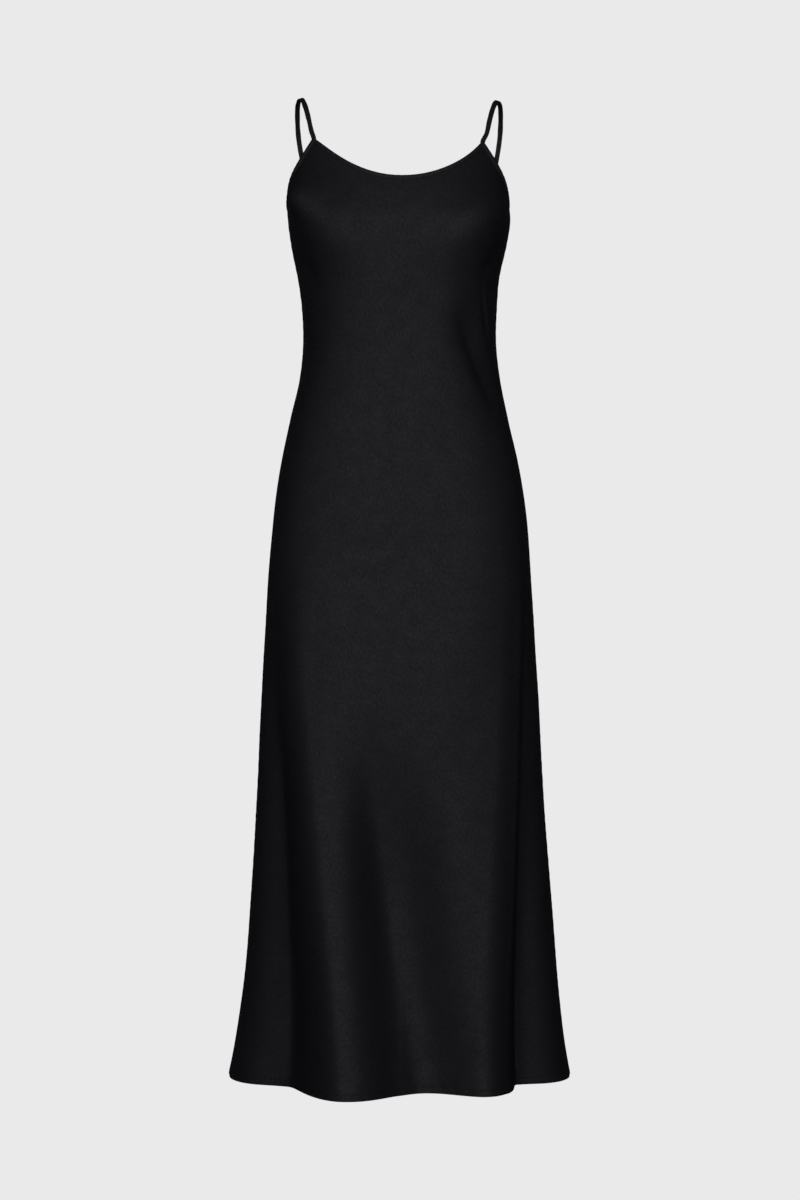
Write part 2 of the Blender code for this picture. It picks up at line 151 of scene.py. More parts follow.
# Soft rises of the cloth, as bell curves: angle, height, spread in angle, spread in
# height, out.
RISES = {
    "bust left": (37.0, -0.184, 18.0, 0.046, 0.0085),
    "bust right": (-39.0, -0.184, 18.0, 0.046, 0.0095),
    "bust side right": (-55.0, -0.140, 14.0, 0.028, 0.0185),
    "bust side left": (54.0, -0.152, 15.0, 0.032, 0.0065),
}

# Creases: soft troughs (below zero) and ridges along a line, from one angle and height
# to another.  Then come the width on the side of centre front or back, the width on the
# side of the side seam, and how far the crease stands out.
CREASES = {
    "front valley": (-11.0, -0.755, 15.0, -1.600, 0.0480, 0.0270, -0.0400),
    "waist drag left": (32.0, -0.268, 66.0, -0.430, 0.0140, 0.0280, -0.0066),
    "side pinch left": (50.0, -0.242, 69.0, -0.342, 0.0036, 0.0036, -0.0019),
    "side roll left": (55.0, -0.246, 72.0, -0.338, 0.0036, 0.0036, 0.0013),
    "underbust left": (76.0, -0.185, 44.0, -0.250, 0.0140, 0.0140, -0.0030),
    "underbust right": (-78.0, -0.190, -46.0, -0.262, 0.0150, 0.0150, -0.0032),
    "waist drag right": (-58.0, -0.290, -80.0, -0.410, 0.0110, 0.0160, -0.0018),
    "back waist left": (140.0, -0.260, 110.0, -0.375, 0.0120, 0.0120, -0.0034),
    "back waist right": (-138.0, -0.255, -108.0, -0.368, 0.0110, 0.0110, -0.0040),
    "back waist low": (-160.0, -0.320, -128.0, -0.405, 0.0105, 0.0105, -0.0024),
    "seat drag left": (98.0, -0.510, 124.0, -0.640, 0.0130, 0.0130, -0.0022),
    "seat drag right": (-100.0, -0.530, -127.0, -0.650, 0.0120, 0.0120, -0.0020),
}

CREASE_FADE_IN = 0.35
CREASE_FADE_OUT = 0.45

# Faint waviness of cloth that hangs by its own weight.
WAVE_SEED = 11
WAVE_COUNT = 14
WAVE_LENGTHS = (0.045, 0.160)
WAVE_HEIGHT = 0.00022
WAVE_LEVEL = -0.7
WAVE_LEAST_ACROSS = 0.35
WAVE_MOST_UPWARD = 0.7
WAVE_SIZE_POWER = 0.7

# Fine work at seams and hems
SEAM_GROOVE = 0.00045
SEAM_GROOVE_WIDTH = 0.0011
SEAM_PUCKER = 0.00022
PUCKER_LENGTH = 0.0130
PUCKER_WANDER = 3.0
PUCKER_WANDER_RATE = 61.0
PUCKER_REACH = 0.006
HEM_STITCH_UP = 0.0072
HEM_GROOVE = 0.00030
HEM_GROOVE_WIDTH = 0.0010
HEM_PUCKER = 0.00028
HEM_PUCKER_LENGTH = 0.0118
HEM_PUCKER_SLANT = 0.35
HEM_PUCKER_WANDER = 2.0
HEM_PUCKER_WANDER_RATE = 47.0
HEM_FULLNESS = 1.25
HEM_TURN = 0.0009
HEM_ROUND = 0.0008
LEAST_OPEN = 0.02
TUCK_UNDER_BINDING = 0.0012

# Bound edges
BINDING_PROUD = 0.00100
BINDING_BACK_SHARE = 0.8
BINDING_CROWN = 0.90
BINDING_PUCKER = 0.16
BINDING_PUCKER_LENGTH = 0.0083
BINDING_WANDER = 2.0
BINDING_WANDER_RATE = 83.0

# Rows of stitches
STITCH_ABOVE_CLOTH = 0.00032
HEM_STITCH_ABOVE_CLOTH = 0.00004
STITCH_DROP_SHARE = 0.78
STITCH_CLEAR_OF_STRAP = 2.4
STITCH_ARCH = 0.94
STITCH_END_SHARE = 0.35
STITCH_LIFT = 1.5
STITCH_SINK = 1.1
STITCH_RINGS = 6
THREAD_SIDES = 6

# Route of the wearer's right strap between its two ends: across, front to back, up.
STRAP_ROUTE = (
    (0.1128, -0.0668, -0.0540),
    (0.1164, -0.0620, -0.0380),
    (0.1208, -0.0478, -0.0205),
    (0.1262, -0.0240, -0.0058),
    (0.1306, 0.0000, -0.0009),
    (0.1338, 0.0220, -0.0058),
    (0.1348, 0.0400, -0.0210),
    (0.1340, 0.0520, -0.0400),
    (0.1300, 0.0590, -0.0670),
)
SHOULDER_SLOPE = 0.35
LEFT_STRAP_INSET = 0.0025
LEFT_STRAP_DROP = 0.0030
STRAP_SINK = 0.0042
STRAP_CORNER_POWER = 0.62
STRAP_DIP = 0.30
STRAP_DIP_WIDTH = 0.34
STRAP_UNEVEN = 0.05
STRAP_UNEVEN_RATES = (210.0, 67.0)

# Grid sizes
FRONT_COLUMNS = 190
BACK_COLUMNS = 170
PANEL_ROWS = 190
YOKE_ROWS = 22
NECK_STEPS = 220
ARMHOLE_STEPS = 170
STRAP_STEPS = 200
STRAP_SIDES = 28
EDGE_STITCH_STEPS = 900
HEM_STITCH_STEPS = 2400
TRIAL_COLUMNS = 2401
SEAM_COLUMNS = (0.20, 0.45, 0.80, 1.25)
COLUMN_CLEARANCE = 0.16
YOKE_CROWDING = 1.25
CREASE_ANGLE = 62.0

# Floor, surroundings and lights
FLOOR_RADIUS = 24.0
FLOOR_SIDES = 64
FLOOR_BELOW_HEM = 0.18
DIM_LIGHT = 0.012
KEY_PLACE = (-0.15, -4.2, 0.85)
KEY_AIM = (0.0, 0.0, 0.15)
KEY_SIZE = (4.6, 3.0)
BACK_PLACES = {"back right": (-2.4, 4.0, 0.9), "back left": (2.4, 4.0, 0.9)}
BACK_SIZE = (1.0, 2.6)
SENSOR_WIDTH = 36.0
FURTHEST_SEEN = 60.0


class ClothSizes(bpy.types.PropertyGroup):
    thickness: bpy.props.FloatProperty(
        name="Cloth thickness",
        description="How thick one layer of the cloth is",
        default=0.0006,
        unit="LENGTH",
        precision=5,
    )
    hem_depth: bpy.props.FloatProperty(
        name="Hem depth",
        description="How far the hem is turned up inside",
        default=0.0085,
        unit="LENGTH",
        precision=4,
    )
    binding_width: bpy.props.FloatProperty(
        name="Binding width",
        description="Width of the bound neck and armhole edges",
        default=0.0060,
        unit="LENGTH",
        precision=4,
    )
    strap_width: bpy.props.FloatProperty(
        name="Strap width",
        description="Width of a shoulder strap",
        default=0.0066,
        unit="LENGTH",
        precision=4,
    )
    strap_thickness: bpy.props.FloatProperty(
        name="Strap thickness",
        description="Thickness of a pressed strap",
        default=0.0020,
        unit="LENGTH",
        precision=4,
    )
    stitch_length: bpy.props.FloatProperty(
        name="Stitch length",
        description="Length of one stitch of the topstitching",
        default=0.0024,
        unit="LENGTH",
        precision=4,
    )
    stitch_pitch: bpy.props.FloatProperty(
        name="Stitch pitch",
        description="Distance from one stitch to the next",
        default=0.0030,
        unit="LENGTH",
        precision=4,
    )
    thread_radius: bpy.props.FloatProperty(
        name="Thread radius",
        description="Half the thickness of the sewing thread",
        default=0.00016,
        unit="LENGTH",
        precision=5,
    )


class ClothColours(bpy.types.PropertyGroup):
    cloth: bpy.props.FloatVectorProperty(
        name="Cloth colour",
        description="Colour of the crepe",
        subtype="COLOR",
        size=3,
        default=(0.0130, 0.0130, 0.0166),
        min=0.0,
        max=1.0,
    )
    # The trim is the panels' crepe in a lighter colour: painted sheen on the bindings and straps.
    trim: bpy.props.FloatVectorProperty(
        name="Trim colour",
        description="Colour of the bindings and straps",
        subtype="COLOR",
        size=3,
        default=(0.0185, 0.0185, 0.0225),
        min=0.0,
        max=1.0,
    )
    thread: bpy.props.FloatVectorProperty(
        name="Thread colour",
        description="Colour of the stitching",
        subtype="COLOR",
        size=3,
        default=(0.013, 0.013, 0.014),
        min=0.0,
        max=1.0,
    )
    roughness: bpy.props.FloatProperty(
        name="Roughness",
        description="How dull the crepe's face is",
        default=0.58,
        min=0.0,
        max=1.0,
    )


class Studio(bpy.types.PropertyGroup):
    backdrop: bpy.props.FloatVectorProperty(
        name="Backdrop colour",
        description="Colour of the floor and of all that lies behind the dress",
        subtype="COLOR",
        size=3,
        default=(0.823, 0.823, 0.823),
        min=0.0,
        max=1.0,
    )
    camera_distance: bpy.props.FloatProperty(
        name="Camera distance",
        description="How far in front of the dress the camera stands",
        default=3.5,
        unit="LENGTH",
    )
    camera_height: bpy.props.FloatProperty(
        name="Camera height",
        description="The level camera's height in the frame",
        default=-0.6513,
        unit="LENGTH",
    )
    view_height: bpy.props.FloatProperty(
        name="View height",
        description="How much of the upright plane through the dress the view takes in",
        default=1.56,
        unit="LENGTH",
    )
    key_power: bpy.props.FloatProperty(
        name="Key light power",
        description="Power of the large soft light in front",
        default=100.0,
        unit="POWER",
    )
    back_power: bpy.props.FloatProperty(
        name="Back light power",
        description="Power of each of the two soft lights behind",
        default=80.0,
        unit="POWER",
    )


def sizes():
    return bpy.context.scene.slip_dress_sizes


def colours():
    return bpy.context.scene.slip_dress_colours


def studio():
    return bpy.context.scene.slip_dress_studio


# ---------------------------------------------------------------- the cloth's surface


def smooth_step(share):
    """Rises from 0 to 1 as three squares less two cubes of the share, flat at both ends."""
    share = np.clip(share, 0.0, 1.0)
    return share * share * (3.0 - 2.0 * share)


def bell(distance, width):
    """One at the middle, falling off as e to the minus square of distance over width."""
    return np.exp(-np.square(distance / width))


def signed_power(value, power):
    return np.sign(value) * np.abs(value) ** power


def wrapped(angle):
    """The same angle, between -180 and 180 degrees."""
    return (np.asarray(angle, float) + 180.0) % 360.0 - 180.0


def through(stations, values, at):
    """Cubic through the stations' values, with each slope taken from its neighbours."""
    stations = np.asarray(stations, float)
    values = np.asarray(values, float)
    slopes = np.gradient(values, stations)
    at = np.clip(at, stations[0], stations[-1])
    cell = np.clip(np.searchsorted(stations, at) - 1, 0, len(stations) - 2)
    span = stations[cell + 1] - stations[cell]
    t = (at - stations[cell]) / span
    return (
        values[cell] * (1 + 2 * t) * (1 - t) ** 2
        + values[cell + 1] * t * t * (3 - 2 * t)
        + span * slopes[cell] * t * (1 - t) ** 2
        - span * slopes[cell + 1] * t * t * (1 - t)
    )


def section(column, height):
    """One column of the section table, read at any height."""
    rows = np.array(SECTIONS)[::-1]
    return through(rows[:, 0], rows[:, SECTION_COLUMNS.index(column)], height)


def fold_height(angle, height):
    """How far the folds push the cloth out: smooth steps from each ridge to its trough.

    Each fold's push is a parabola in the share of the way down from its start to the
    hem, through its middle and hem values.  Its angle drifts from the start angle to
    the hem angle by a power of the share still to go.  A lean, in metres to a degree,
    is the slope that the step keeps at that fold.
    """
    before = None
    for hem_angle, start_angle, start_height, middle_out, hem_out, sharpness, lean in FOLDS.values():
        down = np.clip((start_height - height) / (start_height - HEM), 0.0, 1.0)
        here = hem_angle + (start_angle - hem_angle) * (1.0 - down) ** FOLD_DRIFT_POWER
        out = middle_out * 4.0 * down * (1.0 - down) + hem_out * down * (2.0 * down - 1.0)
        lean = lean * down * down
        if before is None:
            pushed = out
        else:
            angle_before, out_before, lean_before = before
            width = here - angle_before
            share = np.clip((angle - angle_before) / width, 0.0, 1.0)
            step = smooth_step(0.5 + sharpness * (share - 0.5))
            bend = lean_before * (1.0 - share) - lean * share
            pushed = pushed + (out - out_before) * step + width * share * (1.0 - share) * bend
        before = here, out, lean
    return pushed


def rises(angle, height):
    """Sum of the bell-shaped rises."""
    total = 0.0
    for at_angle, at_height, angle_spread, height_spread, out in RISES.values():
        aside = bell(wrapped(angle - at_angle), angle_spread)
        total = total + out * aside * bell(height - at_height, height_spread)
    return total


def girth_radius(height):
    """Radius of a round with about the same girth as the dress at a height."""
    across = 0.5 * (section("right", height) + section("left", height))
    deep = 0.5 * (section("front", height) + section("back", height))
    return 0.5 * (across + deep) * GIRTH_FACTOR


def creases(angle, height):
    """Sum of the creases: a bell across each line, faded in and out along it.

    The bell has one width on the side nearer centre front or back and another on the
    side nearer the side seam.
    """
    total = 0.0
    for line in CREASES.values():
        from_angle, from_height, to_angle, to_height, width, side_width, depth = line
        metres = np.radians(girth_radius(0.5 * (from_height + to_height)))
        run = wrapped(to_angle - from_angle) * metres
        rise = to_height - from_height
        length = np.hypot(run, rise)
        x = wrapped(angle - from_angle) * metres
        y = height - from_height
        along = (x * run + y * rise) / length**2
        aside = (x * rise - y * run) / length
        to_side = aside * np.sin(np.radians(2.0 * from_angle)) * np.sign(rise) > 0.0
        fade = smooth_step(along / CREASE_FADE_IN) * smooth_step((1.0 - along) / CREASE_FADE_OUT)
        total = total + depth * fade * bell(aside, np.where(to_side, side_width, width))
    return total


def waves(angle, height):
    """Sum of a few faint sine waves of different lengths and directions."""
    draw = np.random.default_rng(WAVE_SEED)
    radius = float(girth_radius(WAVE_LEVEL))
    around = np.radians(angle) * radius
    total = 0.0
    for length in np.geomspace(*WAVE_LENGTHS, WAVE_COUNT):
        turns = np.round(2.0 * np.pi * radius * draw.uniform(WAVE_LEAST_ACROSS, 1.0) / length)
        across = turns / radius
        upward = 2.0 * np.pi / length * draw.uniform(-WAVE_MOST_UPWARD, WAVE_MOST_UPWARD)
        phase = draw.uniform(0.0, 2.0 * np.pi)
        size = WAVE_HEIGHT * (length / WAVE_LENGTHS[1]) ** WAVE_SIZE_POWER
        total = total + size * np.sin(across * around + upward * height + phase)
    return total


def fine_work(angle, height):
    """Grooves along the side seams and the hem's stitch line, with small puckers."""
    radius = girth_radius(height)
    from_seam = np.radians(np.abs(np.abs(wrapped(angle)) - SIDE)) * radius
    from_hem = height - (HEM + HEM_STITCH_UP)
    around = np.radians(angle) * radius
    wander = PUCKER_WANDER * np.sin(height * PUCKER_WANDER_RATE)
    ripple = np.sin(2.0 * np.pi * height / PUCKER_LENGTH + wander)
    puckers = SEAM_PUCKER * ripple * bell(from_seam, PUCKER_REACH)
    slanted = around + HEM_PUCKER_SLANT * height
    hem_wander = HEM_PUCKER_WANDER * np.sin(around * HEM_PUCKER_WANDER_RATE)
    hem_ripple = np.sin(2.0 * np.pi * slanted / HEM_PUCKER_LENGTH + hem_wander)
    hem_puckers = HEM_PUCKER * hem_ripple * bell(from_hem, PUCKER_REACH)
    groove = -SEAM_GROOVE * bell(from_seam, SEAM_GROOVE_WIDTH)
    hem_groove = -HEM_GROOVE * bell(from_hem, HEM_GROOVE_WIDTH)
    return puckers + hem_puckers + groove + hem_groove


def surface(angle, height):
    """The cloth's outer face.

    A rounded section: a power of the angle's sine times the half-width, and the share of
    the half-depth that makes the powers of both shares add up to one.  It is pushed out
    along its own normal by folds, rises and creases.
    """
    angle, height = np.broadcast_arrays(wrapped(angle), np.asarray(height, float))
    turn = np.radians(angle)
    across = np.where(turn < 0, section("right", height), section("left", height))
    deep = np.where(np.cos(turn) > 0, section("front", height), section("back", height))
    power = section("squareness", height)
    share = across_share(angle)
    depth_share = (1.0 - share**power) ** (1.0 / power)
    x = across * np.sign(turn) * share
    y = -deep * np.sign(np.cos(turn)) * depth_share
    normal_x = np.sign(turn) * share ** (power - 1.0) / across
    normal_y = -np.sign(np.cos(turn)) * depth_share ** (power - 1.0) / deep
    length = np.hypot(normal_x, normal_y)
    out = fold_height(angle, height) + rises(angle, height) + creases(angle, height)
    out = out + waves(angle, height) + fine_work(angle, height)
    return np.stack([x + out * normal_x / length, y + out * normal_y / length, height], axis=-1)


def normals(angle, height):
    """Outward normals: the cross product of the slopes round and up."""
    around = surface(angle + STEP, height) - surface(angle - STEP, height)
    upward = surface(angle, height + RISE_STEP) - surface(angle, height - RISE_STEP)
    normal = np.cross(around, upward)
    return normal / np.linalg.norm(normal, axis=-1, keepdims=True)


def layer(angle, height, out):
    """The surface moved out along its normals, by one distance or one for each point."""
    return surface(angle, height) + np.asarray(out)[..., None] * normals(angle, height)


# ---------------------------------------------------------------- the dress's edges


def from_front(angle):
    return np.abs(wrapped(angle))


def across_share(angle):
    """How far out from the middle an angle is, from 0 at centre front or back to 1."""
    return np.abs(np.sin(np.radians(angle))) ** (2.0 / TOP_SQUARENESS)


def apex_height(angle):
    """Height of the strap point on the side of the dress where an angle is."""
    front = FRONT_APEX + np.where(wrapped(angle) < 0.0, RIGHT_APEX_RISE, 0.0)
    return np.where(from_front(angle) < SIDE, front, BACK_APEX)


def neck_line(angle):
    """Height of the neckline: its lowest point plus a power of the share across."""
    front = from_front(angle) < SIDE
    lowest = np.where(front, FRONT_NECK, BACK_NECK)
    apex = apex_height(angle)
    corner = np.where(front, FRONT_APEX_ANGLE - APEX_HALF_WIDTH, BACK_APEX_ANGLE + APEX_HALF_WIDTH)
    share = across_share(angle) / across_share(corner)
    lean = np.where(front, NECK_LEAN, 0.0) * np.sin(np.radians(angle))
    return lowest + (apex - lowest) * share**NECK_POWER - lean * (1.0 - share**NECK_LEAN_FADE_POWER)


def armhole_line(angle):
    """Height of the armhole: the underarm plus a power of the share to the strap."""
    front = from_front(angle) < SIDE
    corner = np.where(front, FRONT_APEX_ANGLE + APEX_HALF_WIDTH, BACK_APEX_ANGLE - APEX_HALF_WIDTH)
    apex = apex_height(angle)
    power = np.where(front, FRONT_ARMHOLE_POWER, BACK_ARMHOLE_POWER)
    return UNDERARM + (apex - UNDERARM) * ((SIDE - from_front(angle)) / (SIDE - corner)) ** power


def lowered(line, angle, drop):
    """A line moved down until it is the drop away from itself, whatever its slope."""
    before = surface(angle - STEP, line(angle - STEP))
    after = surface(angle + STEP, line(angle + STEP))
    run = np.linalg.norm((after - before)[..., :2], axis=-1)
    slope = (after - before)[..., 2] / run
    return line(angle) - drop * np.sqrt(1.0 + slope * slope)


def top_edge(angle, drop=0.0):
    """The finished edge, or a line that runs below it at a distance."""
    near_side = np.abs(from_front(angle) - SIDE) < SIDE_STRETCH
    apex = apex_height(angle)
    if drop:
        neck, armhole = lowered(neck_line, angle, drop), lowered(armhole_line, angle, drop)
    else:
        neck, armhole = neck_line(angle), armhole_line(angle)
    neck = np.where(near_side, np.inf, neck)
    return np.minimum(apex - drop, np.minimum(neck, armhole))


# ---------------------------------------------------------------- meshes


def grid_faces(rows, columns, first=0, turned=False):
    """Four-sided faces of a grid of points, row by row."""
    corner = first + (np.arange(rows - 1)[:, None] * columns + np.arange(columns - 1)).ravel()
    faces = np.stack([corner, corner + 1, corner + columns + 1, corner + columns], axis=1)
    return faces[:, ::-1] if turned else faces


def loop_faces(rings, sides, first=0):
    """Four-sided faces of rings of points, each ring closed on itself."""
    index = first + np.arange(rings * sides).reshape(rings, sides)
    further = np.roll(index, -1, axis=1)
    return np.stack([index[:-1], further[:-1], further[1:], index[1:]], axis=-1).reshape(-1, 4)


def make_piece(name, points, faces, material, replaced=(), cloth_uv=None, caps=()):
    """A smooth mesh object in place, riding on the dress, with its map in metres."""
    mesh = bpy.data.meshes.new(name)
    sides = [4] * len(faces) + [len(cap) for cap in caps]
    corners = np.concatenate([np.asarray(faces).ravel(), *[np.asarray(cap) for cap in caps]])
    starts = np.concatenate([[0], np.cumsum(sides)[:-1]])
    mesh.vertices.add(len(points))
    mesh.vertices.foreach_set("co", np.asarray(points, np.float32).ravel())
    mesh.loops.add(len(corners))
    mesh.loops.foreach_set("vertex_index", corners.astype(np.int32))
    mesh.polygons.add(len(sides))
    mesh.polygons.foreach_set("loop_start", starts.astype(np.int32))
    mesh.update(calc_edges=True)
    if cloth_uv is not None:
        layer_uv = mesh.uv_layers.new(name="Cloth")
        layer_uv.data.foreach_set("uv", np.asarray(cloth_uv, np.float32)[corners].ravel())
    if mesh.validate():
        raise RuntimeError(f"{name} was built with faulty faces")
    mesh.shade_smooth()
    mesh.set_sharp_from_angle(angle=np.radians(CREASE_ANGLE))
    mesh.materials.append(material)
    piece = bpy.data.objects.new(name, mesh)
    bpy.context.scene.collection.objects.link(piece)
    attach(piece, "root")
    if replaced:
        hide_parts(*replaced)
    return piece


def panel_heights(top):
    """Rows of a panel for each column: close together at the hem and under the binding."""
    hem_rows = HEM + np.array([0.0, 0.0003, 0.0008, 0.0016, 0.0028, 0.0042, 0.0054, 0.0062])
    stitch_rows = HEM + HEM_STITCH_UP + np.array([-0.0004, 0.0, 0.0004, 0.0010, 0.0022, 0.0040])
    low = stitch_rows[-1]
    even = np.linspace(low, BODICE_LINE, PANEL_ROWS)[1:]
    levels = np.concatenate([hem_rows, stitch_rows, even])
    skirt = np.repeat(levels[:, None], len(top), axis=1)
    share = np.linspace(0.0, 1.0, YOKE_ROWS + 1)[1:, None]
    share = 1.0 - (1.0 - share) ** YOKE_CROWDING
    return np.concatenate([skirt, BODICE_LINE + share * (top - BODICE_LINE)])


def panel_columns(start, end, count, held):
    """Angles evenly spread along the folded cloth, denser at the side seams."""
    fine = np.linspace(start, end, TRIAL_COLUMNS)
    travelled = np.zeros(len(fine) - 1)
    for height in (HEM, 0.5 * (HEM + BODICE_LINE), BODICE_LINE):
        travelled += np.linalg.norm(np.diff(surface(fine, height), axis=0), axis=1)
    along = np.concatenate([[0.0], np.cumsum(travelled)])
    angles = np.interp(np.linspace(0.0, along[-1], count), along, fine)
    seam = np.array(SEAM_COLUMNS)
    extra = np.concatenate([start + seam, end - seam, held])
    clear = np.abs(angles[:, None] - extra).min(axis=1) > COLUMN_CLEARANCE
    clear[[0, -1]] = True
    return np.sort(np.concatenate([angles[clear], extra]))


def cloth_map(points, middle):
    """Metres along the cloth from the middle column, and metres up, for each point."""
    steps = np.linalg.norm(np.diff(points, axis=1), axis=-1)
    across = np.concatenate([np.zeros((len(points), 1)), np.cumsum(steps, axis=1)], axis=1)
    across -= across[:, middle : middle + 1]
    return np.stack([across, points[..., 2]], axis=-1)


def make_panel(name, start, end, count, held, material):
    """A front or back panel: outer and inner faces of thin cloth, doubled at the hem.

    The two faces lie a cloth's thickness apart along the normal.  Within the hem's depth
    the inner face stands further in, by the turned-up layer, and at the very bottom both
    faces close on a half round.
    """
    thick = sizes().thickness
    angles = panel_columns(start, end, count, held)
    top = top_edge(angles, TUCK_UNDER_BINDING)
    height = panel_heights(top)
    angle = np.repeat(angles[None, :], len(height), axis=0)
    above = height - HEM
    doubled = smooth_step((sizes().hem_depth + HEM_TURN - above) / HEM_TURN)
    depth = thick * (1.0 + HEM_FULLNESS * doubled)
    round_share = np.clip(above / HEM_ROUND, 0.0, 1.0)
    open_share = np.sqrt(1.0 - (1.0 - round_share) ** 2)
    outer_out = -0.5 * depth * (1.0 - open_share)
    inner_out = -0.5 * depth * (1.0 + np.maximum(open_share, LEAST_OPEN))
    outer = layer(angle, height, outer_out)
    inner = layer(angle, height, inner_out)
    rows, columns = height.shape
    total = rows * columns
    index = np.arange(total).reshape(rows, columns)
    faces = [grid_faces(rows, columns), grid_faces(rows, columns, total, True)]
    for border in (index[0], index[:, -1], index[-1, ::-1], index[::-1, 0]):
        faces.append(
            np.stack([border[1:], border[:-1], border[:-1] + total, border[1:] + total], axis=1)
        )
    middle = int(np.argmin(np.abs(angles - 0.5 * (start + end))))
    flat = cloth_map(outer, middle)
    points = np.concatenate([outer.reshape(-1, 3), inner.reshape(-1, 3)])
    uv = np.concatenate([flat, flat]).reshape(-1, 2)
    girth = float(np.ptp(flat[..., 0], axis=1).max())
    piece = make_piece(name, points, np.concatenate(faces), material, [name], uv)
    return piece, girth, sheet_area(outer)


def sheet_area(points):
    """Area of a grid of points, half the cross product of each face's diagonals."""
    one = points[1:, 1:] - points[:-1, :-1]
    other = points[:-1, 1:] - points[1:, :-1]
    return float(0.5 * np.linalg.norm(np.cross(one, other), axis=-1).sum())


def binding_profile():
    """Section of a binding: (share of the way up, out) round the folded edge.

    The front face bulges gently, with a groove under the stitches; the top is a half
    round; the back face is plainer and lies inside the cloth.
    """
    thick = sizes().thickness
    share = np.array([0.00, 0.02, 0.07, 0.13, 0.18, 0.22, 0.26, 0.32, 0.42, 0.58, 0.74, 0.88])
    out = np.array([-0.55, 0.55, 0.85, 0.80, 0.45, 0.30, 0.50, 0.88, 1.00, 1.00, 0.95, 0.84])
    front = np.stack([share, out * BINDING_PROUD], axis=1)
    turn = np.radians(np.array([68.0, 40.0, 12.0, -12.0, -40.0, -68.0]))
    middle = -0.5 * thick
    half = out[-1] * BINDING_PROUD + 0.5 * thick
    crown_share = BINDING_CROWN + (1.0 - BINDING_CROWN) * np.cos(turn)
    crown = np.stack([crown_share, middle + half * np.sin(turn)], axis=1)
    back_out = -thick - BINDING_BACK_SHARE * out[::-1] * BINDING_PROUD
    back = np.stack([share[::-1], back_out], axis=1)
    return np.concatenate([front, crown, back])


def travelled_along(line):
    """Metres along a line of points, from its first point to each one."""
    steps = np.linalg.norm(np.diff(line, axis=0), axis=1)
    return np.concatenate([[0.0], np.cumsum(steps)])


def make_binding(name, start, end, steps, mitre, material):
    """A bound edge: its profile carried along the edge between two strap points."""
    angles = np.linspace(start, end, steps + 1)
    for held in (start + mitre, end - mitre):
        angles[np.argmin(np.abs(angles - held))] = held
    width = sizes().binding_width
    foot = top_edge(angles, width)
    edge = top_edge(angles)
    profile = binding_profile()
    height = foot + profile[:, :1] * (edge - foot)
    angle = np.repeat(angles[None, :], len(profile), axis=0)
    along = travelled_along(surface(angles, edge))
    wander = BINDING_WANDER * np.sin(along * BINDING_WANDER_RATE)
    pucker = 1.0 + BINDING_PUCKER * np.sin(2.0 * np.pi * along / BINDING_PUCKER_LENGTH + wander)
    points = layer(angle, height, profile[:, 1:] * pucker)
    rings = points.transpose(1, 0, 2)
    count, sides = rings.shape[:2]
    round_profile = travelled_along(profile * (width, 1.0))
    uv = np.stack(np.broadcast_arrays(along[:, None], round_profile[None, :]), axis=-1).reshape(-1, 2)
    caps = (np.arange(sides), (count - 1) * sides + np.arange(sides)[::-1])
    faces = loop_faces(count, sides)[:, ::-1]
    return make_piece(name, rings.reshape(-1, 3), faces, material, [name], uv, caps)


def strap_end(angle, side, sink):
    """A point inside the bound edge under a strap, and the way the strap's width lies."""
    apex = apex_height(side * angle)
    middle = layer(side * angle, apex - sink, -0.5 * sizes().thickness)
    reach = APEX_HALF_WIDTH
    around = surface(side * (angle + reach), apex) - surface(side * (angle - reach), apex)
    return middle, around / np.linalg.norm(around)


def strap_line(side, steps):
    """Points, directions, widths and thicknesses along a strap's middle line.

    The line is a cubic through its ends and its route.  The width turns smoothly from
    the edge's own direction to the shoulder's slope and back.
    """
    inset, drop = (LEFT_STRAP_INSET, LEFT_STRAP_DROP) if side > 0 else (0.0, 0.0)
    front, front_width = strap_end(FRONT_APEX_ANGLE, side, 0.0)
    back, back_width = strap_end(BACK_APEX_ANGLE, side, 0.0)
    sunk_front = strap_end(FRONT_APEX_ANGLE, side, STRAP_SINK)[0]
    sunk_back = strap_end(BACK_APEX_ANGLE, side, STRAP_SINK)[0]
    route = np.array(STRAP_ROUTE)
    route[:, 0] = side * (route[:, 0] - inset)
    route[:, 2] -= drop
    knots = np.concatenate([[sunk_front], [front], route, [back], [sunk_back]])
    chord = travelled_along(knots)
    along = np.linspace(0.0, chord[-1], steps + 1)
    line = np.stack([through(chord, knots[:, axis], along) for axis in range(3)], axis=1)
    forward = np.gradient(line, along, axis=0)
    forward /= np.linalg.norm(forward, axis=1, keepdims=True)
    crest = np.array([side, 0.0, -SHOULDER_SLOPE])
    share = along / chord[-1]
    to_crest = smooth_step(2.0 * share)[:, None]
    from_crest = smooth_step(2.0 * share - 1.0)[:, None]
    width = front_width * (1 - to_crest) + crest * to_crest
    width = width * (1 - from_crest) - back_width * from_crest
    width -= (width * forward).sum(axis=1, keepdims=True) * forward
    width /= np.linalg.norm(width, axis=1, keepdims=True)
    return line, width, np.cross(forward, width), along


